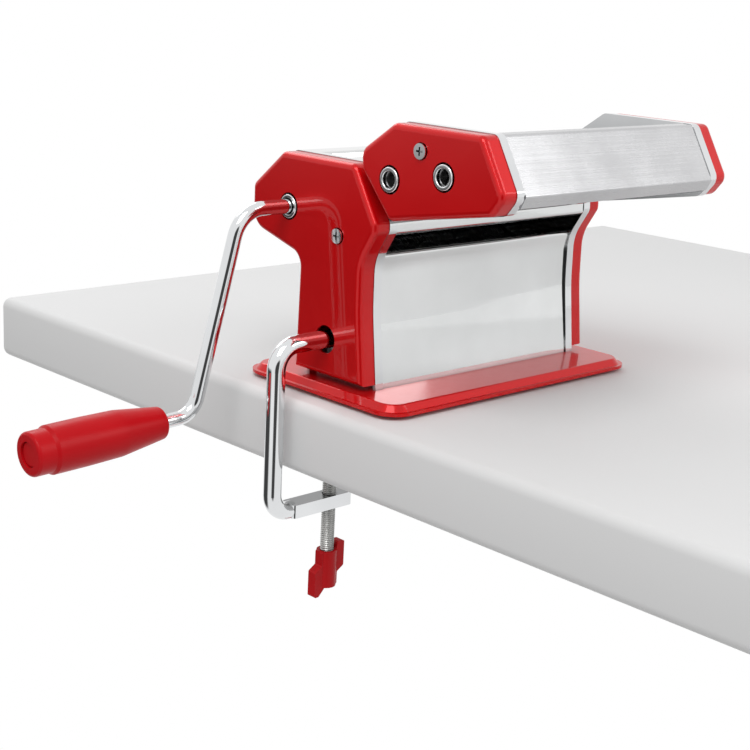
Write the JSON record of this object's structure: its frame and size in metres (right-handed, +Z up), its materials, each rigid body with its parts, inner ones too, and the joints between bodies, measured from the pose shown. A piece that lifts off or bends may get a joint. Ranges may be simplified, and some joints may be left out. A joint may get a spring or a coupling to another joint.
{
  "type": "pasta roller machine",
  "caption": "Hand-cranked pasta roller machine with a clip-on strand cutter, a bent crank with a turning grip, a gap regulator knob and a screw clamp for the table edge.",
  "frame": {"origin": "on the table top under the middle of the base", "axes": "+X along the rollers away from the crank, +Y to the rear and away from the cutter, +Z up"},
  "size_m": [0.3579, 0.1865, 0.2701],
  "materials": {
    "red_paint": "glossy metallic red lacquer",
    "red_plastic": "satin red moulded plastic",
    "black_plastic": "matte black moulded plastic",
    "rubber": "matte soft rubber",
    "chromed_frame": "bright chromed pressed steel",
    "polished_sheet": "polished stainless sheet",
    "zinc_steel": "zinc-plated steel",
    "chromed_steel": "bright chromed steel",
    "white_nylon": "off-white nylon",
    "roller_steel": "fine-ground steel",
    "gear_steel": "machined steel",
    "cutter_steel": "turned steel",
    "spring_steel": "drawn spring wire"
  },
  "bodies": {
    "housing": {"base_plate": "red_paint", "rubber_feet": "rubber", "crank_side_frame": "chromed_frame", "far_side_frame": "chromed_frame", "crank_side_cover": "red_paint", "far_side_cover": "red_paint", "chute_panel": "polished_sheet", "front_head_plate": "polished_sheet", "rear_panel": "polished_sheet", "front_hopper_plate": "polished_sheet", "rear_hopper_plate": "polished_sheet", "frame_tie_rods": "zinc_steel", "tie_rod_nuts": "zinc_steel", "cover_screws": "chromed_steel", "screw_bracket": "zinc_steel", "clamp_sleeve": "zinc_steel", "attachment_rail": "polished_sheet", "driven_roller_bushes": "white_nylon", "driven_roller_scraper": "polished_sheet", "regulator_dial": "black_plastic"},
    "drive_roller": {"driven_roller": "roller_steel", "driven_gear": "gear_steel", "crank_socket": "chromed_steel"},
    "crank": {"crank_rod": "chromed_steel", "handle_washer": "red_plastic"},
    "grip": {"crank_handle": "red_plastic"},
    "regulator": {"regulator_scroll": "white_nylon", "regulator_spring": "spring_steel"},
    "regulator_grip": {"regulator_stem": "zinc_steel", "regulator_knob": "black_plastic"},
    "gap_carriage": {"bearing_blocks": "white_nylon", "adjusting_yoke": "zinc_steel"},
    "idle_roller": {"adjustable_roller": "roller_steel", "adjustable_gear": "gear_steel"},
    "cutter": {"cutter_crank_frame": "chromed_frame", "cutter_far_frame": "chromed_frame", "cutter_crank_cover": "red_paint", "cutter_far_cover": "red_paint", "cutter_front_panel": "polished_sheet", "cutter_rear_panel": "polished_sheet", "cutter_hopper_strips": "polished_sheet", "cutter_slide_channel": "polished_sheet", "cutter_combs": "white_nylon", "cutter_tie_rods": "zinc_steel", "cutter_cover_screws": "chromed_steel"},
    "wide_driven": {"wide_driven_cutter": "cutter_steel", "wide_driven_gear": "gear_steel", "wide_socket": "chromed_steel"},
    "wide_idle": {"wide_idle_cutter": "cutter_steel", "wide_idle_gear": "gear_steel"},
    "narrow_driven": {"narrow_driven_cutter": "cutter_steel", "narrow_driven_gear": "gear_steel", "narrow_socket": "chromed_steel"},
    "narrow_idle": {"narrow_idle_cutter": "cutter_steel", "narrow_idle_gear": "gear_steel"},
    "clamp": {"clamp_rod": "chromed_steel"},
    "pad": {"pressure_pad": "zinc_steel"},
    "screw": {"clamp_screw": "zinc_steel", "wing_knob": "red_plastic"}
  },
  "joints": [
    {"name": "drive_roller_turn", "type": "hinge", "parent": "housing", "child": "drive_roller", "pos_m": [0, 0.035, 0.0985], "axis": [1, 0, 0], "continuous": true},
    {"name": "crank_pull_out", "type": "slide", "parent": "drive_roller", "child": "crank", "axis": [-1, 0, 0], "range_m": [0, 0.03]},
    {"name": "grip_turn", "type": "hinge", "parent": "crank", "child": "grip", "pos_m": [-0.147, 0.045, -0.0133], "axis": [-0.9993, 0, -0.0384], "continuous": true},
    {"name": "regulator_turn", "type": "hinge", "parent": "housing", "child": "regulator", "pos_m": [0, 0.004, 0.0985], "axis": [1, 0, 0], "range_deg": [-324, 0]},
    {"name": "regulator_pull", "type": "slide", "parent": "regulator", "child": "regulator_grip", "axis": [1, 0, 0], "range_m": [0, 0.003], "stiffness_N_per_m": 600, "springref_m": -0.004, "deforming": ["regulator_spring"]},
    {"name": "roller_gap", "type": "slide", "parent": "housing", "child": "gap_carriage", "axis": [0, 1, 0], "range_m": [0, 0.0027]},
    {"name": "adjustable_roller_turn", "type": "hinge", "parent": "gap_carriage", "child": "idle_roller", "pos_m": [0, 0.004, 0.0985], "axis": [1, 0, 0], "continuous": true},
    {"name": "cutter_slide_off", "type": "slide", "parent": "housing", "child": "cutter", "axis": [1, 0, 0], "range_m": [0, 0.16]},
    {"name": "wide_driven_turn", "type": "hinge", "parent": "cutter", "child": "wide_driven", "pos_m": [0, -0.04239, 0.12287], "axis": [1, 0, 0], "continuous": true},
    {"name": "wide_idle_turn", "type": "hinge", "parent": "cutter", "child": "wide_idle", "pos_m": [0, -0.05918, 0.12551], "axis": [1, 0, 0], "continuous": true},
    {"name": "narrow_driven_turn", "type": "hinge", "parent": "cutter", "child": "narrow_driven", "pos_m": [0, -0.07983, 0.12876], "axis": [1, 0, 0], "continuous": true},
    {"name": "narrow_idle_turn", "type": "hinge", "parent": "cutter", "child": "narrow_idle", "pos_m": [0, -0.09662, 0.1314], "axis": [1, 0, 0], "continuous": true},
    {"name": "clamp_pull_out", "type": "slide", "parent": "housing", "child": "clamp", "axis": [-1, 0, 0], "range_m": [0, 0.03]},
    {"name": "clamp_screw_turn", "type": "hinge", "parent": "pad", "child": "screw", "pos_m": [-0.0845, 0.0012, 0], "axis": [0, 0, 1], "range_deg": [-2880, 3600]},
    {"name": "pad_travel", "type": "slide", "parent": "clamp", "child": "pad", "axis": [0, 0, 1], "range_m": [-0.01, 0.0125]}
  ],
  "couplings": [
    {"joint": "adjustable_roller_turn", "follows": "drive_roller_turn", "ratio": -1},
    {"joint": "regulator_turn", "follows": "roller_gap", "rad_per_m": -2094.4},
    {"joint": "wide_idle_turn", "follows": "wide_driven_turn", "ratio": -1},
    {"joint": "narrow_idle_turn", "follows": "narrow_driven_turn", "ratio": -1},
    {"joint": "clamp_screw_turn", "follows": "pad_travel", "rad_per_m": 5026.5}
  ]
}
